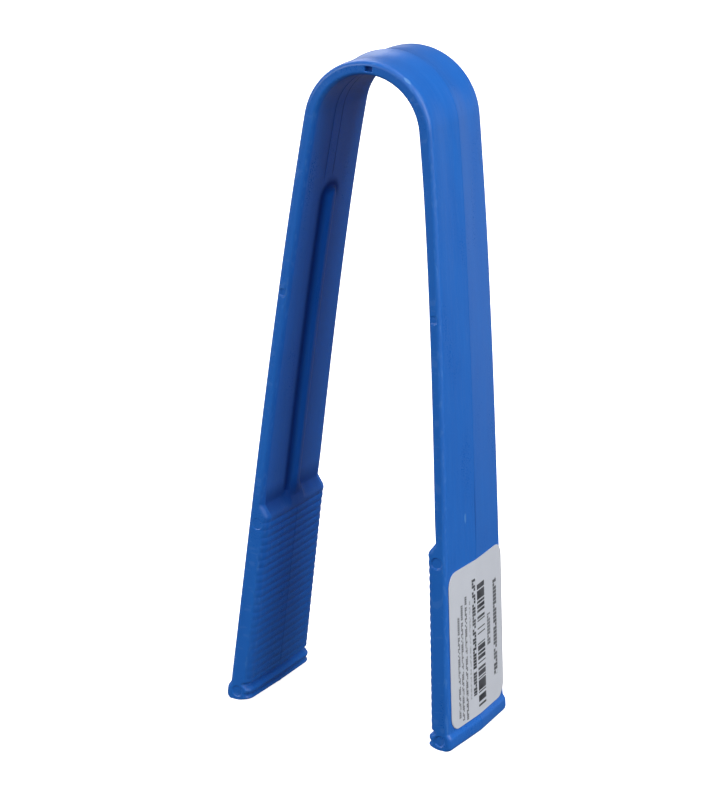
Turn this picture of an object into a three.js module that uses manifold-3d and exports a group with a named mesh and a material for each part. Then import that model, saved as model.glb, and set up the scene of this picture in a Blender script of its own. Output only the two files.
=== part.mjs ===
// One-piece sprung serving tongs: a bow, two splayed arms and two toothed jaws, all of one
// plastic moulding, plus a paper label on one jaw. Units mm, +Z up, jaws open along X, and the
// strip of plastic is wide along Y. The tongs stand on the jaw tips at z = 0.
import * as THREE from 'three';
import { mergeVertices } from 'three/addons/utils/BufferGeometryUtils.js';
import Module from 'manifold-3d';

const manifold = await Module();
manifold.setup();

const deg = THREE.MathUtils.degToRad;

// The sweep line is the outer edge of the strip, from the crown (0) down one arm to its tip.
const BOW_RADIUS = 16.6;
const SPLAY_SHOULDER = deg(8.2);
const SPLAY_TIP = deg(4.5);
const ARM_LENGTH = 151.5;
const BOW_END = BOW_RADIUS * (Math.PI / 2 - SPLAY_SHOULDER);
const TIP = BOW_END + ARM_LENGTH;
const PATH_STEP = 0.25;

// Strip section: each face slopes from a ridge at mid-width to rounded edges, the inner one less.
const WIDTH_TOP = 27.1;
const WIDTH_TIP = 32.0;
const TAPER_LENGTH = 140;
const EDGE_THICKNESS = 3.1;
const OUTER_DRAFT = deg(2.9);
const INNER_DRAFT = deg(0.9);
const RIDGE_SOFTEN = 0.5;
const EDGE_ROUND = 0.8;
const ROUND_STEPS = 3;

// Stiffening rib down the middle of each inner face.
const RIB_HEIGHT = 1.4;
const RIB_BASE_HALF = 3.3;
const RIB_TOP_HALF = 0.4;
const RIB_START = 43.2;
const RIB_END_ROUND = 3.2;

// Jaw features, given by their distance up the strip from the tip.
const RAMP_TOP = 52.6;
const PAD_TOP = 49.2;
const TOOTH_PITCH = 2.0;
const TOOTH_COUNT = 23;
const PAD_HEIGHT = 2.1;
const TOOTH_DEPTH = 0.45;
const NOSE_PROFILE = [
  // distance from tip, height of the inner side, height of the outer bead
  [4.5, 1.35, 0.0],
  [4.0, 1.8, 0.1],
  [3.2, 2.7, 0.7],
  [2.1, 2.35, 0.75],
  [1.2, 2.8, 0.75],
  [0.5, 2.1, 0.55],
  [0.0, 1.2, 0.0],
];

// The moulding is cut into bodies where it flexes. Each cut is a narrow gap.
const GAP = 0.3;
const CUT_CROWN = BOW_RADIUS * deg(45);
const CUT_SHOULDER = RIB_START - 1.5;
const CUT_JAW = TIP - RAMP_TOP - 0.6;

// Spacing of the rings that each body is lofted through.
const BOW_STEP = 2.0;
const SHOULDER_STEP = 3.0;
const ARM_STEP = 9.0;
const RING_APART = 0.05;
const ROUND_END_SHARES = [0.001, 0.06, 0.2, 0.45, 0.75, 1];
const WELD_DISTANCE = 1e-4;

// Shallow round marks and a gate pocket in the front edge of the strip.
const MARK_DEPTH = 0.25;
const MARK_SIDES = 20;
const EDGE_MARKS = [
  // distance from tip, depth below the outer line, radius
  { fromTip: 107.2, inset: 1.6, radius: 0.95 },
  { fromTip: 47.5, inset: 2.4, radius: 1.45 },
  { fromTip: 2.4, inset: 2.3, radius: 1.4 },
];
const GATE = { width: 2.1, height: 1.2, depth: 0.45 };

// Paper label on the outer face of the right jaw.
const LABEL_GAP = 0.3;
const LABEL_THICKNESS = 0.2;
const LABEL_BOTTOM = 4.8;
const LABEL_TOP = 44.6;
const LABEL_FRONT = -14.1;
const LABEL_BACK = 15.0;
const LABEL_CORNER = 3.5;
const LABEL_CORNER_SHARES = [0, 0.15, 0.5, 1];

const PLASTIC = new THREE.MeshStandardMaterial({ color: 0x2f6fc0, roughness: 0.38 });
const PAPER = new THREE.MeshStandardMaterial({ color: 0xd9dcda, roughness: 0.8 });

// Angle of the outward normal from straight up, at distance s from the crown.
function turnAt(s) {
  if (s <= BOW_END) return s / BOW_RADIUS;
  const left = 1 - (s - BOW_END) / ARM_LENGTH;
  const splay = SPLAY_TIP + (SPLAY_SHOULDER - SPLAY_TIP) * left ** 3;
  return Math.PI / 2 - splay;
}

// Horizontal run and drop of the sweep line over a distance s from the crown.
function runAndDrop(s) {
  const steps = Math.max(1, Math.ceil(s / PATH_STEP));
  const ds = s / steps;
  let run = 0;
  let drop = 0;
  for (let i = 0; i < steps; i += 1) {
    const turn = turnAt((i + 0.5) * ds);
    run += Math.cos(turn) * ds;
    drop += Math.sin(turn) * ds;
  }
  return { run, drop };
}

const LINE_HEIGHT = runAndDrop(TIP).drop;

// Point and outward normal of the sweep line. Negative s runs down the left arm.
function station(s) {
  const side = s < 0 ? -1 : 1;
  const { run, drop } = runAndDrop(Math.abs(s));
  const turn = turnAt(Math.abs(s));
  return { x: side * run, z: LINE_HEIGHT - drop, nx: side * Math.sin(turn), nz: Math.cos(turn) };
}

function halfWidth(s) {
  const height = station(s).z;
  const taper = Math.min(1, Math.max(0, 1 - height / TAPER_LENGTH));
  return (WIDTH_TOP + (WIDTH_TIP - WIDTH_TOP) * taper) / 2;
}

// Heights of the inner side and of the outer bead at a distance from the tip.
function jawProfile(fromTip) {
  const lastTooth = PAD_TOP - (TOOTH_COUNT - 1) * TOOTH_PITCH;
  if (fromTip >= RAMP_TOP) return { inner: 0, outer: 0 };
  if (fromTip >= PAD_TOP) return { inner: PAD_HEIGHT * (RAMP_TOP - fromTip) / (RAMP_TOP - PAD_TOP), outer: 0 };
  if (fromTip >= lastTooth) {
    const phase = ((PAD_TOP - fromTip) / TOOTH_PITCH) % 1;
    return { inner: PAD_HEIGHT - TOOTH_DEPTH * (1 - Math.abs(2 * phase - 1)), outer: 0 };
  }
  const below = NOSE_PROFILE.findIndex(([at]) => at <= fromTip);
  const [atLow, innerLow, outerLow] = NOSE_PROFILE[below];
  const [atHigh, innerHigh, outerHigh] = below > 0 ? NOSE_PROFILE[below - 1] : [lastTooth, PAD_HEIGHT, 0];
  const t = (fromTip - atLow) / (atHigh - atLow);
  return { inner: innerLow + (innerHigh - innerLow) * t, outer: outerLow + (outerHigh - outerLow) * t };
}

// Height of the rib over the inner face: rounded upper end, sloped sides, gone at the pad.
function ribHeight(s, y) {
  const along = s - RIB_START;
  if (along <= 0 || TIP - s < PAD_TOP) return 0;
  const end = along < RIB_END_ROUND ? Math.sqrt(1 - (1 - along / RIB_END_ROUND) ** 2) : 1;
  const side = (RIB_BASE_HALF * end - Math.abs(y)) / (RIB_BASE_HALF - RIB_TOP_HALF);
  return RIB_HEIGHT * end * Math.min(1, Math.max(0, side));
}

// Height of a face over its own edges, with a slightly rounded ridge at mid-width.
function ridge(y, half, draft) {
  const away = Math.hypot(y, RIDGE_SOFTEN) - RIDGE_SOFTEN;
  return Math.tan(draft) * (half - away);
}

// Closed section loop as [y, offset from the sweep line], outer side first.
function section(s) {
  const at = Math.abs(s);
  const half = halfWidth(at);
  const { inner, outer } = jawProfile(TIP - at);
  const outside = (y) => outer + ridge(y, half, OUTER_DRAFT);
  const inside = (y) => -EDGE_THICKNESS - ridge(y, half, INNER_DRAFT) - Math.max(inner, ribHeight(at, y));
  const flat = half - EDGE_ROUND;
  const loop = [];
  const corner = (side, top, from, to) => {
    const level = top ? outside(flat) - EDGE_ROUND : inside(flat) + EDGE_ROUND;
    for (let i = 0; i <= ROUND_STEPS; i += 1) {
      const a = from + (to - from) * i / ROUND_STEPS;
      loop.push([side * (flat + EDGE_ROUND * Math.cos(a)), level + EDGE_ROUND * Math.sin(a)]);
    }
  };
  corner(-1, true, 0, Math.PI / 2);
  loop.push([0, outside(0)]);
  corner(1, true, Math.PI / 2, 0);
  corner(1, false, 0, -Math.PI / 2);
  for (const y of [RIB_BASE_HALF, RIB_TOP_HALF, 0, -RIB_TOP_HALF, -RIB_BASE_HALF]) loop.push([y, inside(y)]);
  corner(-1, false, -Math.PI / 2, 0);
  return loop;
}

// Ring of 3-D points for a section loop. At a tip the ring is laid flat on the ground.
function ring(s, loop) {
  const { x, z, nx, nz } = station(s);
  const grounded = Math.abs(s) >= TIP;
  return loop.map(([y, off]) => new THREE.Vector3(x + nx * off, y, grounded ? 0 : z + nz * off));
}

// Triangles that fill a loop, wound the same way round as the loop itself.
function capTriangles(loop) {
  const contour = loop.map(([y, off]) => new THREE.Vector2(y, off));
  const clockwise = THREE.ShapeUtils.isClockWise(contour);
  return THREE.ShapeUtils.triangulateShape(contour, []).map(([a, b, c]) => {
    const same = THREE.ShapeUtils.isClockWise([contour[a], contour[b], contour[c]]) === clockwise;
    return same ? [a, b, c] : [a, c, b];
  });
}

// Closed solid through rings of equal length, with flat caps cut from the end loops.
function loft(rings, loops) {
  const count = rings[0].length;
  const positions = rings.flat().flatMap((p) => [p.x, p.y, p.z]);
  const faces = [];
  for (let k = 0; k + 1 < rings.length; k += 1) {
    for (let i = 0; i < count; i += 1) {
      const j = (i + 1) % count;
      const a = k * count;
      faces.push([a + i, a + count + i, a + count + j], [a + i, a + count + j, a + j]);
    }
  }
  const last = (rings.length - 1) * count;
  for (const [a, b, c] of capTriangles(loops[0])) faces.push([a, b, c]);
  for (const [a, b, c] of capTriangles(loops[loops.length - 1])) faces.push([last + a, last + c, last + b]);
  return orientOutward(positions, faces);
}

function orientOutward(positions, faces) {
  const at = (i) => new THREE.Vector3().fromArray(positions, 3 * i);
  const volume = faces.reduce((sum, [a, b, c]) => sum + at(a).dot(at(b).cross(at(c))), 0);
  const index = faces.flatMap(([a, b, c]) => (volume > 0 ? [a, b, c] : [a, c, b]));
  const geometry = new THREE.BufferGeometry();
  geometry.setAttribute('position', new THREE.Float32BufferAttribute(positions, 3));
  geometry.setIndex(index);
  return geometry;
}

// Sweep of the strip between two distances, with rings at the given inner stations.
function strip(from, to, inner) {
  const stations = [from, ...inner.filter((s) => s > from + RING_APART && s < to - RING_APART), to];
  const loops = stations.map(section);
  return loft(stations.map((s, i) => ring(s, loops[i])), loops);
}

function evenly(from, to, step) {
  const count = Math.round(Math.abs(to - from) / step);
  return Array.from({ length: count + 1 }, (_, i) => from + (to - from) * i / count);
}

function mirrored(values) {
  return values.map((s) => -s).reverse();
}

function toManifold(geometry) {
  const bare = geometry.clone();
  for (const name of Object.keys(bare.attributes)) if (name !== 'position') bare.deleteAttribute(name);
  const welded = mergeVertices(bare, WELD_DISTANCE);
  const vertProperties = new Float32Array(welded.attributes.position.array);
  const triVerts = new Uint32Array(welded.index.array);
  return new manifold.Manifold(new manifold.Mesh({ numProp: 3, vertProperties, triVerts }));
}

function subtract(geometry, tools) {
  let solid = toManifold(geometry);
  for (const tool of tools) solid = solid.subtract(toManifold(tool));
  const mesh = solid.getMesh();
  const result = new THREE.BufferGeometry();
  result.setAttribute('position', new THREE.Float32BufferAttribute(mesh.vertProperties, 3));
  result.setIndex(Array.from(mesh.triVerts));
  return result;
}

// Round punch that cuts MARK_DEPTH into the front edge of the strip.
function edgeMark(side, { fromTip, inset, radius }) {
  const s = TIP - fromTip;
  const { x, z, nx, nz } = station(side * s);
  const punch = new THREE.CylinderGeometry(radius, radius, 2 * MARK_DEPTH, MARK_SIDES);
  punch.translate(x - nx * inset, -halfWidth(s), z - nz * inset);
  return punch;
}

function gatePocket() {
  const { z } = station(0);
  const pocket = new THREE.BoxGeometry(GATE.width, 2 * GATE.depth, GATE.height);
  pocket.translate(0, -halfWidth(0), z - EDGE_THICKNESS / 2);
  return pocket;
}

function bowCrown() {
  const body = strip(-CUT_CROWN, CUT_CROWN, evenly(-CUT_CROWN, CUT_CROWN, BOW_STEP));
  return subtract(body, [gatePocket()]);
}

function shoulder(side) {
  const bend = [...evenly(CUT_CROWN, BOW_END, BOW_STEP), ...evenly(BOW_END, CUT_SHOULDER, SHOULDER_STEP)];
  const from = CUT_CROWN + GAP;
  const to = CUT_SHOULDER - GAP;
  return side > 0 ? strip(from, to, bend) : strip(-to, -from, mirrored(bend));
}

function arm(side) {
  const ribEnd = ROUND_END_SHARES.map((t) => RIB_START + t * RIB_END_ROUND);
  const rings = [...ribEnd, ...evenly(RIB_START + RIB_END_ROUND, CUT_JAW, ARM_STEP).slice(1)];
  const body = side > 0 ? strip(CUT_SHOULDER, CUT_JAW, rings) : strip(-CUT_JAW, -CUT_SHOULDER, mirrored(rings));
  return subtract(body, [edgeMark(side, EDGE_MARKS[0])]);
}

function jaw(side) {
  const teeth = evenly(PAD_TOP, PAD_TOP - (TOOTH_COUNT - 1) * TOOTH_PITCH, TOOTH_PITCH / 2);
  const nose = NOSE_PROFILE.slice(0, -1).map(([at]) => at);
  const rings = [RAMP_TOP, ...teeth, ...nose].map((fromTip) => TIP - fromTip);
  const from = CUT_JAW + GAP;
  const body = side > 0 ? strip(from, TIP, rings) : strip(-TIP, -from, mirrored(rings));
  return subtract(body, [edgeMark(side, EDGE_MARKS[1]), edgeMark(side, EDGE_MARKS[2])]);
}

// Thin sheet bent over the ridge of the right jaw, with rounded corners.
function label() {
  const corner = LABEL_CORNER_SHARES.map((t) => LABEL_CORNER * t);
  const heights = [...corner.map((c) => LABEL_BOTTOM + c), ...corner.map((c) => LABEL_TOP - c).reverse()];
  const stations = heights.map((h) => TIP - h).reverse();
  const loops = stations.map((s) => {
    const h = TIP - s;
    const toEnd = Math.min(h - LABEL_BOTTOM, LABEL_TOP - h, LABEL_CORNER);
    const cut = LABEL_CORNER - Math.sqrt(LABEL_CORNER ** 2 - (LABEL_CORNER - toEnd) ** 2);
    const half = halfWidth(s);
    const face = (y) => ridge(y, half, OUTER_DRAFT) + LABEL_GAP;
    const across = [LABEL_FRONT + cut, 0, LABEL_BACK - cut];
    const outer = across.map((y) => [y, face(y) + LABEL_THICKNESS]);
    const inner = across.map((y) => [y, face(y)]).reverse();
    return [...outer, ...inner];
  });
  return loft(stations.map((s, i) => ring(s, loops[i])), loops);
}

const group = new THREE.Group();
group.name = 'serving_tongs';

function add(name, geometry, material) {
  const flat = geometry.toNonIndexed();
  flat.computeVertexNormals();
  const mesh = new THREE.Mesh(flat, material);
  mesh.name = name;
  group.add(mesh);
}

add('bow_crown', bowCrown(), PLASTIC);
for (const [name, side] of [['right', 1], ['left', -1]]) {
  add(`${name}_shoulder`, shoulder(side), PLASTIC);
  add(`${name}_arm`, arm(side), PLASTIC);
  add(`${name}_jaw`, jaw(side), PLASTIC);
}
add('jaw_label', label(), PAPER);

export default group;
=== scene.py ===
"""One-piece plastic serving tongs with a paper label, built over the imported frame."""

import math

import bpy
import numpy as np
from mathutils import Matrix, Vector


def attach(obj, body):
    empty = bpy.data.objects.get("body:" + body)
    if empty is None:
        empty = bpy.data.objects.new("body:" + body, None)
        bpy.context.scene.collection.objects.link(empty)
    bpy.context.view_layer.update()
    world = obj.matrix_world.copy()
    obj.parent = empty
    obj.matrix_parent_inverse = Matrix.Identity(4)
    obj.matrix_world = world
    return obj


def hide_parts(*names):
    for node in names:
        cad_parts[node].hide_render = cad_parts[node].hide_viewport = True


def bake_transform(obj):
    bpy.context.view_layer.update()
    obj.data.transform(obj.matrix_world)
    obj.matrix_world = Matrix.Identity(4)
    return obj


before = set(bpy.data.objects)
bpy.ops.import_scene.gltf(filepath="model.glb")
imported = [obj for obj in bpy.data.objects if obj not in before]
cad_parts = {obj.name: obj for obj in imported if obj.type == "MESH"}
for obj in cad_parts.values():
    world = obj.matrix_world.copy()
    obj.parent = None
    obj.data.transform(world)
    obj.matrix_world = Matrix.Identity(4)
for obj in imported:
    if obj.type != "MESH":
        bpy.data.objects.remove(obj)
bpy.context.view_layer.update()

# Lengths are in millimetres and angles in radians up to the mesh, which is in metres.
MM = 0.001

# The sweep line is the outer edge of the strip, from the crown (0) down an arm to its tip.
BOW_RADIUS = 16.6
SPLAY_SHOULDER = math.radians(8.2)
SPLAY_TIP = math.radians(4.5)
ARM_LENGTH = 151.5
BOW_END = BOW_RADIUS * (math.pi / 2 - SPLAY_SHOULDER)
TIP = BOW_END + ARM_LENGTH
PATH_STEP = 0.05
TIP_FLATTEN = 1.0

# Strip section: both faces slope from a ridge at mid-width down to rounded edges.
WIDTH_TOP = 27.1
WIDTH_TIP = 32.0
TAPER_LENGTH = 140.0
EDGE_THICKNESS = 3.1
OUTER_DRAFT = math.radians(2.9)
INNER_DRAFT = math.radians(0.9)
OUTER_ROUND = (1.5, 1.1)  # across the strip, through its thickness
INNER_ROUND = (1.7, 1.0)
JAW_INNER_ROUND = (2.8, 1.6)
ROUND_CHANGE = (58.0, 44.0)  # distances from the tip over which it changes
RIDGE_SOFTEN = 0.5
WITNESS_HEIGHT = 0.05
WITNESS_HALF = 0.14

# Sink marks: on the bow, a shallow dish to each side of the outer ridge.
DISH_DEPTH = 0.25
DISH_Y = 5.5
DISH_SPAN = (25.0, 70.0)  # distances from the crown up to which it is full, and where it is gone

# Rib down the middle of each inner face.
RIB_HEIGHT = 1.4
RIB_BASE_HALF = 3.3
RIB_TOP_HALF = 0.3
RIB_CREST_SOFTEN = 0.25
RIB_FOOT_SOFTEN = 0.12
RIB_START = 43.2
RIB_END_ROUND = 3.2
RIB_END_NARROWING = 0.35  # share of the side wall's width lost at the very end
RIB_END_RISE = 3.0  # the crest is at full height this many times sooner than the end's outline

# Fine line beside the inner ridge, under the bow.
FLOW_LINE_DEPTH = 0.06
FLOW_LINE_HALF = 0.2
FLOW_LINE_Y = -3.9
FLOW_LINE_SPAN = (8.0, RIB_START - 1.0)
FLOW_LINE_FADE = 3.0

# Painted shade that darkens the creases, the ramp, the witness line and the shadowed side of the rib's
# foot: reach to each side in mm, then strength.
FOOT_PAINTED_SHADE = (2.2, 0.9)
FLOW_PAINTED_SHADE = (0.45, 0.55)
MIDLINE_PAINTED_SHADE = (0.4, 0.6)
RAMP_PAINTED_SHADE = (5.0, 0.6)
WITNESS_PAINTED_SHADE = (0.45, 0.08)

# Where the painted shadow by the rib's foot lies, and the other painted shade's strengths.
FOOT_PAINTED_SHADE_OUTSET = 0.3
FOOT_PAINTED_SHADE_BACK = 0.5  # the back half gets no painted shadow from here, away from the rib's end
FOOT_PAINTED_SHADE_AT_END = 5.0  # reach from the rib's end, inside which it covers both sides
PAD_LINE_PAINTED_SHADE = 0.2
GATE_PAINTED_SHADE = 0.8
# Painted shade along the witness line, darker just above the jaw.
WITNESS_DARK = 0.45
WITNESS_DARK_AT = 56.0  # distance from the tip
WITNESS_DARK_REACH = 12.0

# Jaw features by distance from the tip.
RAMP_TOP = 52.6
PAD_TOP = 49.2
POCKET_ROUND = 2.6
PAD_HEIGHT = 2.1
RAMP_EASE = (0.2, 0.35)  # shares of the ramp's length that are eased, at its foot and at the pad
TOOTH_PITCH = 2.0
TOOTH_COUNT = 23
TOOTH_DEPTHS = (0.13, 0.3)  # at the last tooth, at the first
TOOTH_FADE = (9.5, 13.5)  # half widths between which the teeth get shallower
TOOTH_EDGE_SHARE = 0.6
TOOTH_SHARPNESS = 0.8
LAST_TOOTH = PAD_TOP - (TOOTH_COUNT - 1) * TOOTH_PITCH
NOSE_PROFILE = (
    # distance from tip, height of the inner side, height of the outer bead
    (LAST_TOOTH, PAD_HEIGHT, 0.0),
    (4.7, 1.4, 0.0),
    (4.2, 1.5, 0.06),
    (3.7, 2.2, 0.35),
    (3.2, 2.7, 0.65),
    (2.7, 2.68, 0.74),
    (2.1, 2.3, 0.75),
    (1.7, 2.4, 0.75),
    (1.2, 2.78, 0.75),
    (0.8, 2.6, 0.68),
    (0.4, 2.05, 0.47),
    (0.15, 1.5, 0.2),
    (0.0, 1.1, 0.0),
)

# Marks left by the mould in the front edge.
EDGE_MARKS = (
    # distance from tip, depth below the outer line, radius, depth on the right and left arm
    (107.2, 1.6, 0.95, 0.24, 0.3),
    (47.5, 2.4, 1.4, 0.34, 0.1),
    (2.4, 2.3, 1.35, 0.34, 0.2),
)
MARK_LIP = 0.3
STEP_EASE = 0.4  # share of a mark's lip, or of the teeth's fade, that is eased at each end
GATE_HALF = 1.0
GATE_INSET = 1.5
GATE_HEIGHT_HALF = 0.55
GATE_DEPTH = 0.9
NUBS = (
    # side, distance from tip, y, height off the inner face, half length, half width
    (1, 107.4, -13.2, 0.22, 0.5, 0.7),
    (-1, 0.4, 0.2, 0.45, 0.35, 1.5),
)

# Mesh density.
QUAD_CORNERS = 4
ROUND_LANES = 8
EDGE_LANES = 22
FLAT_LANES = 9
WALL_LANES = 12
ARM_STEP = 1.0
BOW_STEP = 0.35
TOOTH_STEP = 0.2
MARK_STEP = 0.12
RIB_END_STEP = 0.15
RIB_END_MARGIN = 0.5
CLOSEST_RINGS = 0.4 * MARK_STEP
LAST_RINGS = (0.3, 0.15, 0.06, 0.0)  # distances from the tip
MIDLINE_LANES = (0, 0.07, 0.14, 0.25, 0.45, 0.8, 1.4)  # distances from mid-width
WALL_MARGIN = 0.9  # how far past the rib's foot the lanes of its wall go on
FLOW_LINE_LANES = (0.95, 1.0, 1.05)  # shares of the flow line's distance from mid-width
LANE_DIGITS = 4  # lanes that agree to this many decimals are one lane

# Paper label on the outer face of the right jaw.
LABEL_BOTTOM = 4.5
LABEL_TOP = 44.5
LABEL_FRONT = -14.1
LABEL_BACK = 15.0
LABEL_CORNER = 3.5
LABEL_LIFT = 0.06
LABEL_THICKNESS = 0.1
LABEL_STEP = 0.5
LABEL_CORNER_STEPS = 14
LABEL_LANES = 61

# What both materials share.
MID_TONE = 0.5
MIX_COLOUR_INPUTS = (0, 6, 7)  # the mix node's sockets for a share and two colours
MIX_COLOUR_OUTPUT = 2
NOISE_MIDDLE = 0.5
NOISE_DETAIL = 2.0
FINE_DETAIL = 4.0

# Plastic. Sizes and depths in millimetres: along, across and through the strip.
PLASTIC_LIGHT = (0.0105, 0.158, 0.62, 1)
PLASTIC_DARK = (0.0085, 0.128, 0.545, 1)
PLASTIC_WORN = (0.10, 0.30, 0.72, 1)
PLASTIC_ROUGHNESS = 0.3
PLASTIC_SPECULAR = 0.5
PAD_DULLING = 0.3
# Painted shade: the deep blue laid over the creases, the ramp, the gate and the rib's shadowed side.
PAINTED_SHADE = (0.001, 0.012, 0.15, 1)
PAINTED_SHADE_STRENGTH = 0.85
PAINTED_SHADE_ROUGHNESS = 0.3
PAINTED_SHADE_DULLING = 0.42
CLOUD_SIZES = (22.0, 9.0, 9.0)
CLOUD_TONE = 1.2
CLOUD_ROUGHNESS = 0.1
STREAK_SIZES = (34.0, 1.1, 4.0)
STREAK_TONE = 0.7
GRAIN_SIZES = (0.28, 0.28, 0.28)
GRAIN_ROUGHNESS = 0.12
GRAIN_DEPTH = 0.006
WAVE_SIZES = (9.0, 5.0, 5.0)
WAVE_DEPTH = 0.05
WEAR_SIZES = (2.2, 0.7, 0.7)
WEAR_DETAIL = 3.0
WEAR_THRESHOLDS = (0.04, 0.16)
EDGE_WEAR_PALE = 0.2
EDGE_WEAR_ROUGHNESS = 0.12
CORNER_ROUGHNESS = 0.12
SCRATCH_SIZES = (16.0, 0.09, 3.0)
SCRATCH_SOFT = 0.04
SCRATCHES = ((0.05, 0.2), (-0.11, 0.22))  # lean in radians, threshold
SCRATCH_PALE = 0.12
SCRATCH_ROUGHNESS = 0.12
SCRATCH_DEPTH = 0.006
SCUFF_CORE = 0.3
SCUFF_PALE = 0.8
SCUFF_DEPTH = 0.05
SCUFFS = (
    # place along and across the strip, radii along and across
    ((10.5, -12.8), (1.3, 0.55)),
    ((TIP - 56.3, -5.0), (1.5, 0.45)),
)

# Paper and its print. Places up the label and across it.
PAPER_LIGHT = (0.68, 0.71, 0.78, 1)
PAPER_DARK = (0.58, 0.61, 0.68, 1)
PAPER_ROUGHNESS = 0.55
PAPER_CLOUD_SIZES = (6.0, 6.0, 6.0)
FIBRE_SIZES = (0.5, 0.16, 0.2)
FIBRE_TONE = 0.5
FIBRE_ROUGHNESS = 0.2
FIBRE_DEPTH = 0.01
INK = (0.025, 0.027, 0.035, 1)
INK_SOLID = 0.95
INK_UNEVEN = 0.5
PRINT_GAP = 0.14
PRINT_SOFT = 0.1
LEVEL_SEED = 101  # step of the seed between a row's two levels
BAR_FIELD = (-0.3, 4.0, 6.4, 38.0)  # front, back, low and high edge
BAR_DRAWS = ((0.33, 0.4, 3), (0.66, 0.16, 47))  # bar width, share printed, seed
PRINT_ROWS = (
    # middle, half height, low and high end, block pitch, share printed, seed, then strength
    ((10.4, 1.0, 11.3, 36.2, 0.95, 0.74, 7), 0.85),
    ((6.4, 0.9, 20.5, 28.5, 0.85, 0.8, 11), 0.75),
    ((-2.0, 0.8, 10.0, 39.9, 0.8, 0.7, 17), 0.95),
    ((-4.1, 0.3, 9.7, 35.4, 0.5, 0.6, 23), 0.45),
    ((-6.1, 0.45, 5.1, 36.7, 0.55, 0.72, 31), 0.8),
    ((-8.1, 0.45, 5.6, 35.1, 0.55, 0.72, 37), 0.75),
    ((-9.8, 0.45, 6.7, 32.6, 0.55, 0.72, 43), 0.75),
)

# Camera: a long lens well back from the object.
SENSOR_WIDTH = 36.0
CAMERA_AZIMUTH = math.radians(27.018)
CAMERA_ELEVATION = math.radians(17.78)
CAMERA_ROLL = math.radians(2.453)
FOCAL_LENGTH = 139.833
CAMERA_DISTANCE = 754.09
TARGET_RIGHT = -3.841
TARGET_HEIGHT = 79.52

# Soft studio light, in metres and watts.
SOFTBOXES = (
    # name, azimuth in degrees from the front towards +X, elevation in degrees, power
    ("right_low", 90, 22, 9.2),
    ("right_high", 90, 45, 5.0),
    ("front_right", 45, 28, 2.0),
    ("front_left", 315, 15, 8.5),
    ("front_high", 0, 40, 3.5),
    ("back_left_low", 225, 15, 2.0),
    ("back_left", 225, 40, 6.5),
    ("back_right_low", 162, 0, 0.4),
    ("top", 135, 75, 4.2),
)
SOFTBOX_SIZE = 0.8
SOFTBOX_DISTANCE = 1.4
FILL_LIGHT = 0.13
BACKDROP_LIGHT = 1.0
FLOOR_RADIUS = 6.0
FLOOR_SIDES = 48
FLOOR_COLOUR = (0.9, 0.9, 0.9)
FLOOR_GLOW = 0.95


# ---------------------------------------------------------------- shape of the strip


def turn_at(s):
    """Angle of the outward normal from straight up, at distances s from the crown."""
    left = np.clip(1 - (s - BOW_END) / ARM_LENGTH, 0, 1)
    splay = SPLAY_TIP + (SPLAY_SHOULDER - SPLAY_TIP) * left**3
    return np.where(s <= BOW_END, s / BOW_RADIUS, math.pi / 2 - splay)


def sweep_table():
    """Distances, runs and drops of the sweep line, for interpolation."""
    s = np.arange(0, TIP + PATH_STEP, PATH_STEP)
    turn = turn_at((s[1:] + s[:-1]) / 2)
    run = np.concatenate([[0], np.cumsum(np.cos(turn) * PATH_STEP)])
    drop = np.concatenate([[0], np.cumsum(np.sin(turn) * PATH_STEP)])
    return s, run, drop


SWEEP = sweep_table()
LINE_HEIGHT = np.interp(TIP, SWEEP[0], SWEEP[2])


def place(s, y, offset, side):
    """Points at distance s, place y across and offset outward from the sweep line, in millimetres."""
    run = np.interp(s, SWEEP[0], SWEEP[1])
    height = LINE_HEIGHT - np.interp(s, SWEEP[0], SWEEP[2])
    turn = turn_at(s)
    x = side * (run + np.sin(turn) * offset)
    z = height + np.cos(turn) * offset * np.clip((TIP - s) / TIP_FLATTEN, 0, 1)
    return np.stack(np.broadcast_arrays(x, y, z), axis=-1)


def half_width(s):
    """Half the strip's width, which grows from the bow down to the tips."""
    height = LINE_HEIGHT - np.interp(s, SWEEP[0], SWEEP[2])
    taper = np.clip(1 - height / TAPER_LENGTH, 0, 1)
    return (WIDTH_TOP + (WIDTH_TIP - WIDTH_TOP) * taper) / 2


def soft_ramp(t, start, end):
    """0 to 1 over t in 0 to 1, straight in the middle and eased over start and end."""
    t = np.clip(t, 0, 1)
    slope = 1 / (1 - start / 2 - end / 2)
    rise = np.where(t < start, t**2 / (2 * start), t - start / 2) * slope
    return np.where(t > 1 - end, 1 - (1 - t) ** 2 / (2 * end) * slope, rise)


def since(value, start):
    """0 up to the start, 1 from one millimetre past it."""
    return np.clip(value - start, 0, 1)


def until(value, end):
    """1 up to one millimetre before the end, 0 past it."""
    return np.clip(end - value, 0, 1)


def bump(distance, half):
    """Rounded bump: 1 at distance 0, 0 from half outward."""
    return np.clip(1 - (distance / half) ** 2, 0, 1) ** 2


def ridge(y, half, draft):
    """Height of the shallow ridge along a face, softened at the crest."""
    away = np.sqrt(y**2 + RIDGE_SOFTEN**2) - RIDGE_SOFTEN
    return math.tan(draft) * (half - away)


def rib_share(s, y):
    """Share of the rib's height over the inner face: 1 on the crest, 0 off the rib."""
    along = np.clip((s - RIB_START) / RIB_END_ROUND, 0, 1)
    end = np.sqrt(1 - (1 - along) ** 2)
    wall = (np.abs(y) - RIB_TOP_HALF * end) / (RIB_BASE_HALF - RIB_TOP_HALF)
    side = 1 - soft_ramp(wall + (1 - end) * RIB_END_NARROWING, RIB_CREST_SOFTEN, RIB_FOOT_SOFTEN)
    return side * soft_ramp(along * RIB_END_RISE, RIB_FOOT_SOFTEN, RIB_CREST_SOFTEN)


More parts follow.
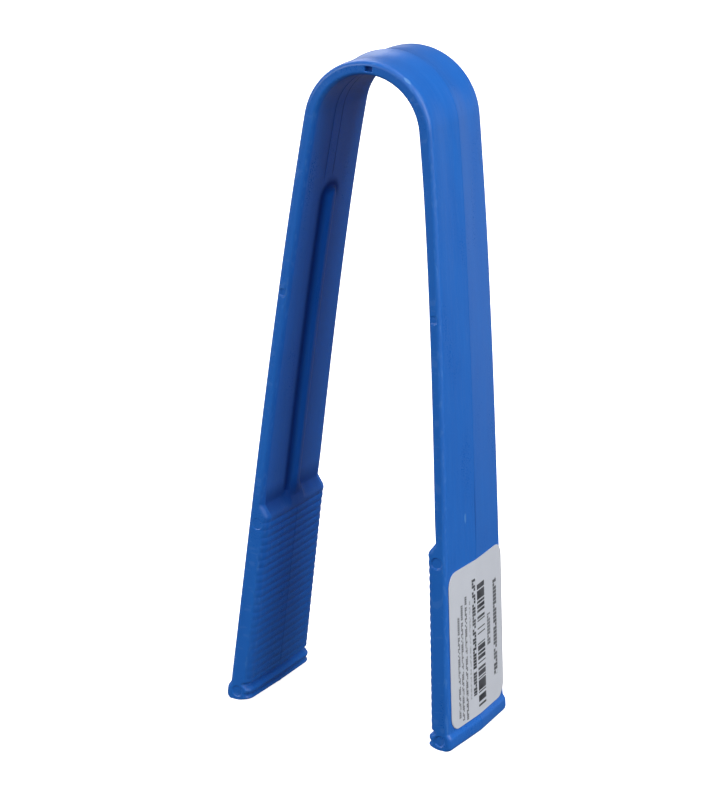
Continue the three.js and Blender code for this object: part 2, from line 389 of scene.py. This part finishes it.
def ramp_height(from_tip, y):
    """Height of the ramp up to the pad. Its foot curves round beside the rib."""
    near = np.clip(1 - (np.abs(y) - RIB_BASE_HALF) / POCKET_ROUND, 0, 1)
    foot = RAMP_TOP + POCKET_ROUND * (1 - np.sqrt(1 - near**2))
    t = (foot - from_tip) / (foot - PAD_TOP)
    return PAD_HEIGHT * soft_ramp(t, *RAMP_EASE)


def tooth_dip(from_tip, y):
    """Depth of the fine grooves below the pad's level. They get shallower at the edges."""
    phase = (PAD_TOP - from_tip) / TOOTH_PITCH
    depth = np.interp(from_tip, (LAST_TOOTH, PAD_TOP), TOOTH_DEPTHS)
    start, end = TOOTH_FADE
    to_edge = soft_ramp((np.abs(y) - start) / (end - start), STEP_EASE, STEP_EASE)
    fade = 1 - (1 - TOOTH_EDGE_SHARE) * to_edge
    return depth * fade * (1 - np.abs(np.cos(math.pi * phase)) ** TOOTH_SHARPNESS)


def inner_height(s, y):
    """Height of everything that stands on the inner face."""
    from_tip = TIP - s
    share = rib_share(s, y)
    floor = ramp_height(from_tip, y)
    arm = floor + np.maximum(RIB_HEIGHT - floor, 0) * share
    at, inner, _ = np.array(NOSE_PROFILE[::-1]).T
    nose = np.interp(from_tip, at, inner)
    toothed = PAD_HEIGHT - tooth_dip(from_tip, y)
    return np.where(from_tip >= PAD_TOP, arm, np.where(from_tip >= LAST_TOOTH, toothed, nose))


def outer_height(s):
    """Height of the bead round the tip, on the outer face."""
    at, _, outer = np.array(NOSE_PROFILE[::-1]).T
    return np.interp(TIP - s, at, outer)


def flow_share(s):
    """Share of the flow line's depth along the strip. It fades in and out at its ends."""
    start, end = FLOW_LINE_SPAN
    return np.clip(np.minimum(s - start, end - s) / FLOW_LINE_FADE, 0, 1)


def flow_line(s, y):
    """Depth of the fine line beside the inner ridge, under the bow."""
    return FLOW_LINE_DEPTH * flow_share(s) * bump(y - FLOW_LINE_Y, FLOW_LINE_HALF)


def nubs(side, s, y):
    """Height of the small moulding nubs on the inner face."""
    raised = np.zeros(np.broadcast(s, y).shape)
    for nub_side, from_tip, at, height, half_long, half_wide in NUBS:
        if nub_side == side:
            raised += height * bump(TIP - s - from_tip, half_long) * bump(y - at, half_wide)
    return raised


def dish(s, y):
    """Height of the outer face between and beside the two dishes on the bow."""
    full, gone = DISH_SPAN
    fade = np.clip((gone - s) / (gone - full), 0, 1)
    return DISH_DEPTH * fade * (1 - bump(np.abs(y) - DISH_Y, DISH_Y))


def outer_face(s, y, half):
    """Offset of the outer face from the sweep line."""
    witness = WITNESS_HEIGHT * bump(y, WITNESS_HALF)
    return outer_height(s) + ridge(y, half, OUTER_DRAFT) + dish(s, y) + witness


def inner_face(s, y, half, side):
    """Offset of the inner face from the sweep line."""
    raised = inner_height(s, y) + nubs(side, s, y) - flow_line(s, y)
    return -EDGE_THICKNESS - ridge(y, half, INNER_DRAFT) - raised


def inside(distance, edge):
    """1 inside a mark's edge and 0 outside it, eased over the mark's lip."""
    return 1 - soft_ramp((distance - edge) / MARK_LIP + 0.5, STEP_EASE, STEP_EASE)


def gate_share(s, offset):
    """Share of the gate pocket's depth over the front edge."""
    return inside(s, GATE_HALF) * inside(np.abs(offset + GATE_INSET), GATE_HEIGHT_HALF)


def edge_dent(s, offset, side):
    """Depth of the round marks and of the gate pocket in the front edge."""
    depth = np.zeros(np.broadcast(s, offset).shape)
    for from_tip, inset, radius, right, left in EDGE_MARKS:
        r = np.hypot(TIP - s - from_tip, offset + inset)
        depth += (right if side > 0 else left) * inside(r, radius)
    return depth + GATE_DEPTH * gate_share(s, offset)


def inner_painted_shade(s, y):
    """Painted shade: the rib's shadow along the front of its foot and round its end, and shade over the
    ramp and in the crease lines.
    """
    past_end = np.clip(RIB_START + RIB_END_ROUND - s, 0, None)
    foot = np.hypot(y, past_end * RIB_BASE_HALF / RIB_END_ROUND) - RIB_BASE_HALF - FOOT_PAINTED_SHADE_OUTSET
    by_end = bump(s - RIB_START, FOOT_PAINTED_SHADE_AT_END)
    on_arm = until(s, TIP - RAMP_TOP) * np.maximum(until(y, FOOT_PAINTED_SHADE_BACK), by_end)
    # Painted shadow of the rib over the front of its foot and round its end.
    around_rib = on_arm * FOOT_PAINTED_SHADE[1] * bump(foot, FOOT_PAINTED_SHADE[0])
    # Painted shade over the ramp up to the pad.
    ramp = RAMP_PAINTED_SHADE[1] * bump(TIP - s - RAMP_TOP, RAMP_PAINTED_SHADE[0])
    # Painted shade in the crease along the middle, on the bow and over the pad, and in the flow line.
    on_bow = MIDLINE_PAINTED_SHADE[1] * until(s, RIB_START - FOOT_PAINTED_SHADE[0])
    on_pad = PAD_LINE_PAINTED_SHADE * since(s, TIP - PAD_TOP) * until(s, TIP - LAST_TOOTH)
    midline = np.maximum(on_bow, on_pad) * bump(y, MIDLINE_PAINTED_SHADE[0])
    flow = FLOW_PAINTED_SHADE[1] * flow_share(s) * bump(y - FLOW_LINE_Y, FLOW_PAINTED_SHADE[0])
    return np.maximum(np.maximum(around_rib, ramp), np.maximum(midline, flow))


def outer_painted_shade(s, y):
    """Painted shade along the witness line on the ridge, most of it just above the jaw."""
    above_jaw = bump(TIP - s - WITNESS_DARK_AT, WITNESS_DARK_REACH)
    return (WITNESS_PAINTED_SHADE[1] + WITNESS_DARK * above_jaw) * bump(y, WITNESS_PAINTED_SHADE[0])


# ---------------------------------------------------------------- lanes and rings


def fixed_lanes():
    """Distances from mid-width of the lanes that follow the ridge, the rib and the flow line."""
    walls = np.linspace(RIB_TOP_HALF, RIB_BASE_HALF + WALL_MARGIN, WALL_LANES)
    flow = abs(FLOW_LINE_Y) * np.array(FLOW_LINE_LANES)
    return np.unique(np.concatenate([MIDLINE_LANES, walls, flow]).round(LANE_DIGITS))


def face_lanes(flat, front_first):
    """Places y of the lanes over a face that is flat as far as given to each side."""
    fixed = fixed_lanes()
    rest = fixed[-1] + (flat[:, None] - fixed[-1]) * np.linspace(0, 1, FLAT_LANES)[None, 1:]
    half = np.concatenate([np.broadcast_to(fixed, (len(flat), len(fixed))), rest], axis=1)
    lanes = np.concatenate([-half[:, :0:-1], half], axis=1)
    return lanes if front_first else lanes[:, ::-1]


def inner_round(s):
    """Size of the inner edges' rounding, which grows from the arm to the jaw."""
    start, end = ROUND_CHANGE
    jaw = np.clip((start - (TIP - s)) / (start - end), 0, 1)
    return [arm + (broad - arm) * jaw for arm, broad in zip(INNER_ROUND, JAW_INNER_ROUND)]


def corner(wide, level, size, side, outward, entering):
    """y and offset of a quarter round that enters a face from the strip's edge, or leaves it."""
    angle = np.linspace(0, math.pi / 2, ROUND_LANES)[1:-1]
    angle = angle if entering else angle[::-1]
    y = side * (wide - np.outer(size[0], 1 - np.cos(angle)))
    offset = level[:, None] + outward * np.outer(size[1], np.sin(angle))
    return y, offset


def section(s, side):
    """y, offset and the corner, painted shade and matt shares round the strip, a ring for each s."""
    half = half_width(s)
    column = s[:, None]
    wide = half[:, None]
    outer_size = [np.full(len(s), size) for size in OUTER_ROUND]
    inner_size = inner_round(s)
    outer_y = face_lanes(half - outer_size[0], True)
    inner_y = face_lanes(half - inner_size[0], False)
    outer = outer_face(column, outer_y, wide)
    inner = inner_face(column, inner_y, wide, side)
    outer_level = outer[:, 0] - outer_size[1]
    inner_level = inner[:, 0] + inner_size[1]
    share = np.linspace(0, 1, EDGE_LANES)[None, :]
    down = outer_level[:, None] + (inner_level - outer_level)[:, None] * share
    up = down[:, ::-1]
    front = -wide + edge_dent(column, up, side)
    back = np.broadcast_to(wide, down.shape)
    parts = [
        # y, offset, corner share, painted shade share, matt share
        (*corner(wide, outer_level, outer_size, -1, 1, True), 1, 0, 0),
        (outer_y, outer, 0, outer_painted_shade(column, outer_y), 0),
        (*corner(wide, outer_level, outer_size, 1, 1, False), 1, 0, 0),
        (back, down, 0, 0, 0),
        (*corner(wide, inner_level, inner_size, 1, -1, True), 1, 0, 0),
        (inner_y, inner, 0, inner_painted_shade(column, inner_y), since(column, TIP - PAD_TOP)),
        (*corner(wide, inner_level, inner_size, -1, -1, False), 1, 0, 0),
        # Painted shade in the gate pocket.
        (front, up, 0, GATE_PAINTED_SHADE * gate_share(column, up), 0),
    ]
    filled = [np.broadcast_arrays(*part) for part in parts]
    return [np.concatenate(arrays, axis=1) for arrays in zip(*filled)]


def stations():
    """Distances of the rings from the crown to the tip, closer where there is detail."""
    pieces = [
        np.arange(0, GATE_HALF + MARK_LIP, MARK_STEP),
        np.arange(GATE_HALF + MARK_LIP, BOW_END, BOW_STEP),
        np.arange(BOW_END, TIP - PAD_TOP, ARM_STEP),
        np.arange(RIB_START - RIB_END_MARGIN, RIB_START + RIB_END_ROUND + RIB_END_MARGIN, RIB_END_STEP),
        np.arange(TIP - RAMP_TOP - POCKET_ROUND, TIP - PAD_TOP, TOOTH_STEP),
        np.arange(TIP - PAD_TOP, TIP, TOOTH_STEP),
        TIP - np.array(LAST_RINGS),
    ]
    for from_tip, _, radius, *_ in EDGE_MARKS:
        reach = radius + MARK_LIP
        pieces.append(TIP - from_tip + np.arange(-reach, reach, MARK_STEP))
    s = np.sort(np.concatenate(pieces))
    s = s[s <= TIP]
    keep = np.concatenate([[True], np.diff(s) > CLOSEST_RINGS])
    keep[-1] = True
    return s[keep]


def mesh_object(name, points, faces, coordinates, shares):
    """A mesh, smooth apart from its end caps, with the coordinates and shares its material reads."""
    mesh = bpy.data.meshes.new(name)
    mesh.from_pydata((points.reshape(-1, 3) * MM).tolist(), [], faces)
    mesh.update()
    strip = mesh.attributes.new("strip", "FLOAT_VECTOR", "POINT")
    strip.data.foreach_set("vector", coordinates.astype(np.float32).ravel())
    for key, values in shares.items():
        share = mesh.attributes.new(key, "FLOAT", "POINT")
        share.data.foreach_set("value", values.astype(np.float32).ravel())
    mesh.polygons.foreach_set("use_smooth", [len(face) == QUAD_CORNERS for face in faces])
    made = bpy.data.objects.new(name, mesh)
    bpy.context.scene.collection.objects.link(made)
    return made


def tube_faces(rings, lanes, flip):
    """Quads of a tube of rings with the given number of lanes, and a cap over each end."""
    faces = []
    for k in range(rings - 1):
        for i in range(lanes):
            j = (i + 1) % lanes
            faces.append((k * lanes + i, (k + 1) * lanes + i, (k + 1) * lanes + j, k * lanes + j))
    faces.append(tuple(range(lanes)))
    faces.append(tuple(range((rings - 1) * lanes, rings * lanes))[::-1])
    return [face[::-1] for face in faces] if flip else faces


def half_tongs(name, side):
    """One half of the moulding, from the crown to the tip of one arm, as one skin."""
    s = stations()
    y, offset, corners, painted_shade, matt = section(s, side)
    points = place(s[:, None], y, offset, side)
    rings, lanes = y.shape
    faces = tube_faces(rings, lanes, side < 0)
    along = np.broadcast_to(s[:, None] * side, y.shape)
    coordinates = np.stack([along, y, offset], axis=-1)
    shares = {"corner": corners, "painted_shade": painted_shade, "matt": matt}
    return mesh_object(name, points, faces, coordinates, shares)


def label_outline_cut(up):
    """How far the rounded corners cut into the label's sides at a height up the label."""
    to_end = np.minimum(np.minimum(up - LABEL_BOTTOM, LABEL_TOP - up), LABEL_CORNER)
    return LABEL_CORNER - np.sqrt(np.maximum(0, LABEL_CORNER**2 - (LABEL_CORNER - to_end) ** 2))


def paper_label(name):
    """A thin closed sheet that lies over the outer face of the right jaw."""
    ease = LABEL_CORNER * (1 - np.cos(np.linspace(0, math.pi / 2, LABEL_CORNER_STEPS)))
    middle = np.arange(LABEL_BOTTOM + LABEL_CORNER, LABEL_TOP - LABEL_CORNER, LABEL_STEP)[1:]
    up = np.concatenate([LABEL_BOTTOM + ease, middle, (LABEL_TOP - ease)[::-1]])
    cut = label_outline_cut(up)
    share = np.linspace(0, 1, LABEL_LANES)[None, :]
    front = LABEL_FRONT + cut
    back = LABEL_BACK - cut
    y = front[:, None] + (back - front)[:, None] * share
    s = TIP - up[:, None]
    under = outer_face(s, y, half_width(s)) + LABEL_LIFT
    loops_y = np.concatenate([y, y[:, ::-1]], axis=1)
    loops_offset = np.concatenate([under + LABEL_THICKNESS, under[:, ::-1]], axis=1)
    points = place(s, loops_y, loops_offset, 1)
    rings, lanes = loops_y.shape
    faces = tube_faces(rings, lanes, True)
    along = np.broadcast_to(up[:, None], loops_y.shape)
    coordinates = np.stack([along, loops_y, loops_offset], axis=-1)
    return mesh_object(name, points, faces, coordinates, {})


# ---------------------------------------------------------------- materials


def node(tree, kind, **settings):
    """A new node. Settings are values of its inputs, or else its own properties."""
    made = tree.nodes.new(kind)
    for key, value in settings.items():
        if key in made.inputs:
            connect(tree, made.inputs[key], value)
        else:
            setattr(made, key, value)
    return made


def connect(tree, socket, value):
    """Link a socket into another, or set it to a plain value."""
    if isinstance(value, bpy.types.NodeSocket):
        tree.links.new(value, socket)
    else:
        socket.default_value = value


def calc(tree, operation, *values):
    """Result of a math node."""
    made = node(tree, "ShaderNodeMath", operation=operation)
    for socket, value in zip(made.inputs, values):
        connect(tree, socket, value)
    return made.outputs["Value"]


def combined(tree, operation, values):
    """All the values joined by one operation, from the first to the last."""
    result = values[0]
    for value in values[1:]:
        result = calc(tree, operation, result, value)
    return result


def weighted(tree, terms, start=0.0):
    """Sum of values times their weights, added to a start value."""
    result = start
    for value, weight in terms:
        result = calc(tree, "MULTIPLY_ADD", value, weight, result)
    return result


def mixed(tree, share, first, second):
    """Colour between two colours."""
    made = node(tree, "ShaderNodeMix", data_type="RGBA")
    for index, value in zip(MIX_COLOUR_INPUTS, (share, first, second)):
        connect(tree, made.inputs[index], value)
    return made.outputs[MIX_COLOUR_OUTPUT]


def strip_coordinates(tree):
    """The mesh's place along, across and through the strip, in millimetres."""
    return node(tree, "ShaderNodeAttribute", attribute_name="strip").outputs["Vector"]


def share_of(tree, name):
    """One of the mesh's named shares."""
    return node(tree, "ShaderNodeAttribute", attribute_name=name).outputs["Fac"]


def noise(tree, place_in_mm, sizes, detail=NOISE_DETAIL):
    """Noise about 0 whose spots have the given sizes in mm along, across and through."""
    scale = tuple(1 / size for size in sizes)
    scaled = node(tree, "ShaderNodeVectorMath", operation="MULTIPLY")
    connect(tree, scaled.inputs[0], place_in_mm)
    connect(tree, scaled.inputs[1], scale)
    made = node(tree, "ShaderNodeTexNoise", Vector=scaled.outputs[0], Scale=1.0, Detail=detail)
    return calc(tree, "SUBTRACT", made.outputs["Fac"], NOISE_MIDDLE)


def above(tree, value, low, high):
    """0 below low, 1 over high, smooth between them."""
    made = node(tree, "ShaderNodeMapRange", interpolation_type="SMOOTHSTEP", Value=value)
    made.inputs["From Min"].default_value = low
    made.inputs["From Max"].default_value = high
    return made.outputs["Result"]


def band(tree, value, low, high, soft):
    """1 between low and high, falling to 0 over a distance of soft outside."""
    rise = above(tree, value, low - soft, low)
    fall = above(tree, value, high, high + soft)
    return calc(tree, "MULTIPLY", rise, calc(tree, "SUBTRACT", 1.0, fall))


def drawn(tree, number, filled):
    """1 or 0 at random for each whole number, 1 for the given share of them."""
    draw = node(tree, "ShaderNodeTexWhiteNoise", noise_dimensions="1D", W=number).outputs["Value"]
    return calc(tree, "LESS_THAN", draw, filled)


def add_relief(tree, shader, height):
    """Fine relief from a height in millimetres."""
    relief = node(tree, "ShaderNodeBump", Height=height, Distance=MM)
    connect(tree, shader.inputs["Normal"], relief.outputs["Normal"])


def new_material(name):
    """A new material, its node tree and its shader."""
    material = bpy.data.materials.new(name)
    material.use_nodes = True
    tree = material.node_tree
    return material, tree, tree.nodes["Principled BSDF"]


def scuff(tree, along, across, centre, radii):
    """Soft oval mask round a spot on the strip."""
    u = calc(tree, "DIVIDE", calc(tree, "SUBTRACT", along, centre[0]), radii[0])
    v = calc(tree, "DIVIDE", calc(tree, "SUBTRACT", across, centre[1]), radii[1])
    distance = weighted(tree, [(u, u), (v, v)])
    return calc(tree, "SUBTRACT", 1.0, above(tree, distance, SCUFF_CORE, 1.0))


def scratches(tree, place_in_mm, lean, threshold):
    """Fine lines that run nearly along the strip, leaning by a few degrees."""
    turned = node(tree, "ShaderNodeVectorRotate", rotation_type="Z_AXIS", Vector=place_in_mm, Angle=lean)
    lines = noise(tree, turned.outputs["Vector"], SCRATCH_SIZES, 0.0)
    return above(tree, lines, threshold, threshold + SCRATCH_SOFT)


def blue_plastic():
    """Semi-gloss moulded polypropylene: grain, streaks, sink waves, light wear, and painted shade in the
    creases and on the rib's shadowed side.
    """
    material, tree, shader = new_material("blue_plastic")
    at = strip_coordinates(tree)
    parts = node(tree, "ShaderNodeSeparateXYZ", Vector=at)
    along, across = parts.outputs["X"], parts.outputs["Y"]
    corner_share = share_of(tree, "corner")
    painted_shade = share_of(tree, "painted_shade")
    matt = share_of(tree, "matt")

    cloud = noise(tree, at, CLOUD_SIZES)
    streak = noise(tree, at, STREAK_SIZES)
    grain = noise(tree, at, GRAIN_SIZES, FINE_DETAIL)
    wave = noise(tree, at, WAVE_SIZES)
    worn = above(tree, noise(tree, at, WEAR_SIZES, WEAR_DETAIL), *WEAR_THRESHOLDS)
    edge_wear = calc(tree, "MULTIPLY", corner_share, worn)
    marks = combined(tree, "ADD", [scuff(tree, along, across, *spot) for spot in SCUFFS])
    lines = combined(tree, "ADD", [scratches(tree, at, *leaning) for leaning in SCRATCHES])

    tone = weighted(tree, [(cloud, CLOUD_TONE), (streak, STREAK_TONE)], MID_TONE)
    colour = mixed(tree, tone, PLASTIC_DARK, PLASTIC_LIGHT)
    paler = weighted(tree, [(edge_wear, EDGE_WEAR_PALE), (marks, SCUFF_PALE), (lines, SCRATCH_PALE)])
    worn_colour = mixed(tree, paler, colour, PLASTIC_WORN)
    # Painted shade from the mesh's share darkens the colour towards a deep blue.
    shaded = calc(tree, "MULTIPLY", painted_shade, PAINTED_SHADE_STRENGTH)
    connect(tree, shader.inputs["Base Color"], mixed(tree, shaded, worn_colour, PAINTED_SHADE))

    roughening = [
        (cloud, CLOUD_ROUGHNESS),
        (grain, GRAIN_ROUGHNESS),
        (edge_wear, EDGE_WEAR_ROUGHNESS),
        (corner_share, CORNER_ROUGHNESS),
        (lines, SCRATCH_ROUGHNESS),
        (painted_shade, PAINTED_SHADE_ROUGHNESS),
    ]
    connect(tree, shader.inputs["Roughness"], weighted(tree, roughening, PLASTIC_ROUGHNESS))
    gloss = weighted(tree, [(painted_shade, -PAINTED_SHADE_DULLING), (matt, -PAD_DULLING)], PLASTIC_SPECULAR)
    connect(tree, shader.inputs["Specular IOR Level"], gloss)

    depths = [(grain, GRAIN_DEPTH), (wave, WAVE_DEPTH), (lines, -SCRATCH_DEPTH), (marks, SCUFF_DEPTH)]
    add_relief(tree, shader, weighted(tree, depths))
    return material


def dashes(tree, up, across, row):
    """One printed row of plain blocks on two levels, each printed or left out at random."""
    middle, half, low, high, pitch, filled, seed = row
    cells = calc(tree, "DIVIDE", up, pitch)
    level = calc(tree, "FLOOR", calc(tree, "DIVIDE", calc(tree, "SUBTRACT", across, middle), half))
    level_seed = calc(tree, "MULTIPLY_ADD", level, LEVEL_SEED, seed)
    printed = drawn(tree, calc(tree, "ADD", calc(tree, "FLOOR", cells), level_seed), filled)
    fade = band(tree, calc(tree, "FRACT", cells), PRINT_GAP, 1 - PRINT_GAP, PRINT_GAP)
    row_mask = band(tree, across, middle - half, middle + half, PRINT_SOFT)
    end_mask = band(tree, up, low, high, PRINT_SOFT)
    return combined(tree, "MULTIPLY", [printed, fade, row_mask, end_mask])


def bars(tree, up, across):
    """A field of bars of random widths, which stands for no number."""
    front, back, low, high = BAR_FIELD
    layers = []
    for width, filled, seed in BAR_DRAWS:
        number = calc(tree, "ADD", calc(tree, "FLOOR", calc(tree, "DIVIDE", up, width)), seed)
        layers.append(drawn(tree, number, filled))
    printed = combined(tree, "MAXIMUM", layers)
    side_mask = band(tree, across, front, back, PRINT_SOFT)
    end_mask = band(tree, up, low, high, PRINT_SOFT)
    return combined(tree, "MULTIPLY", [printed, side_mask, end_mask])


def label_paper():
    """Coated label paper with generic print: random bars and rows of plain blocks."""
    material, tree, shader = new_material("label_paper")
    at = strip_coordinates(tree)
    parts = node(tree, "ShaderNodeSeparateXYZ", Vector=at)
    up, across = parts.outputs["X"], parts.outputs["Y"]
    fibre = noise(tree, at, FIBRE_SIZES, FINE_DETAIL)
    cloud = noise(tree, at, PAPER_CLOUD_SIZES)
    tone = weighted(tree, [(fibre, FIBRE_TONE), (cloud, FIBRE_TONE)], MID_TONE)
    sheet = mixed(tree, tone, PAPER_DARK, PAPER_LIGHT)
    inks = [calc(tree, "MULTIPLY", bars(tree, up, across), INK_SOLID)]
    for row, strength in PRINT_ROWS:
        inks.append(calc(tree, "MULTIPLY", dashes(tree, up, across, row), strength))
    evenness = weighted(tree, [(cloud, INK_UNEVEN)], 1.0)
    ink = calc(tree, "MULTIPLY", combined(tree, "MAXIMUM", inks), evenness)
    connect(tree, shader.inputs["Base Color"], mixed(tree, ink, sheet, INK))
    connect(tree, shader.inputs["Roughness"], weighted(tree, [(fibre, FIBRE_ROUGHNESS)], PAPER_ROUGHNESS))
    add_relief(tree, shader, calc(tree, "MULTIPLY", fibre, FIBRE_DEPTH))
    return material


# ---------------------------------------------------------------- camera and light


def direction(azimuth, elevation):
    """Unit vector out from the object, by the angle from the front towards +X and the one upward."""
    level = math.cos(elevation)
    return Vector((math.sin(azimuth) * level, -math.cos(azimuth) * level, math.sin(elevation)))


def camera_axes():
    """Level right direction, then the camera's own right, up and back directions."""
    right = Vector((math.cos(CAMERA_AZIMUTH), math.sin(CAMERA_AZIMUTH), 0))
    back = direction(CAMERA_AZIMUTH, CAMERA_ELEVATION)
    up = back.cross(right)
    rolled_right = math.cos(CAMERA_ROLL) * right + math.sin(CAMERA_ROLL) * up
    rolled_up = math.cos(CAMERA_ROLL) * up - math.sin(CAMERA_ROLL) * right
    return right, rolled_right, rolled_up, back


def add_camera():
    """The camera of the main view."""
    data = bpy.data.cameras.new("camera")
    data.sensor_width = SENSOR_WIDTH
    data.lens = FOCAL_LENGTH
    made = bpy.data.objects.new("camera", data)
    right, rolled_right, rolled_up, back = camera_axes()
    target = right * TARGET_RIGHT + Vector((0, 0, TARGET_HEIGHT))
    made.location = (target + back * CAMERA_DISTANCE) * MM
    made.rotation_euler = Matrix((rolled_right, rolled_up, back)).transposed().to_euler()
    bpy.context.scene.collection.objects.link(made)
    bpy.context.scene.camera = made


def add_world():
    """Weak fill light from all round. The camera itself sees plain white there."""
    world = bpy.data.worlds.new("studio")
    bpy.context.scene.world = world
    world.use_nodes = True
    tree = world.node_tree
    background = tree.nodes["Background"]
    background.inputs["Color"].default_value = (1, 1, 1, 1)
    seen = node(tree, "ShaderNodeLightPath").outputs["Is Camera Ray"]
    strength = weighted(tree, [(seen, BACKDROP_LIGHT - FILL_LIGHT)], FILL_LIGHT)
    connect(tree, background.inputs["Strength"], strength)


def add_lights():
    """Round softboxes that all face the middle of the tongs."""
    middle = Vector((0, 0, LINE_HEIGHT / 2 * MM))
    for name, azimuth, elevation, power in SOFTBOXES:
        data = bpy.data.lights.new(name, "AREA")
        data.shape = "DISK"
        data.size = SOFTBOX_SIZE
        data.energy = power
        made = bpy.data.objects.new(name, data)
        made.visible_camera = False
        away = direction(math.radians(azimuth), math.radians(elevation))
        made.location = middle + away * SOFTBOX_DISTANCE
        made.rotation_euler = away.to_track_quat("Z", "Y").to_euler()
        bpy.context.scene.collection.objects.link(made)


def add_floor():
    """Plain pale floor, kept out of reflections and bounced light so that the plastic stays deep blue."""
    mesh = bpy.data.meshes.new("floor")
    angles = np.linspace(0, math.tau, FLOOR_SIDES, endpoint=False)
    rim = [(FLOOR_RADIUS * math.cos(angle), FLOOR_RADIUS * math.sin(angle), 0) for angle in angles]
    mesh.from_pydata(rim, [], [range(FLOOR_SIDES)])
    material, _, shader = new_material("pale_floor")
    shader.inputs["Base Color"].default_value = (*FLOOR_COLOUR, 1)
    shader.inputs["Roughness"].default_value = 1.0
    shader.inputs["Emission Color"].default_value = (1, 1, 1, 1)
    shader.inputs["Emission Strength"].default_value = FLOOR_GLOW
    mesh.materials.append(material)
    floor = bpy.data.objects.new("floor", mesh)
    floor.visible_glossy = False
    floor.visible_diffuse = False
    bpy.context.scene.collection.objects.link(floor)


plastic = blue_plastic()
for name, side in (("right", 1), ("left", -1)):
    half = half_tongs(f"{name}_half", side)
    half.data.materials.append(plastic)
    bow_end = Vector(place(BOW_END, 0, 0, side)) * MM
    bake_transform(half)
    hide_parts("bow_crown", f"{name}_shoulder", f"{name}_arm", f"{name}_jaw")
label = paper_label("paper_label")
label.data.materials.append(label_paper())
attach(label, "right_leg")
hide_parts("jaw_label")
add_camera()
add_world()
add_lights()
add_floor()
bpy.context.scene.view_settings.view_transform = "Standard"
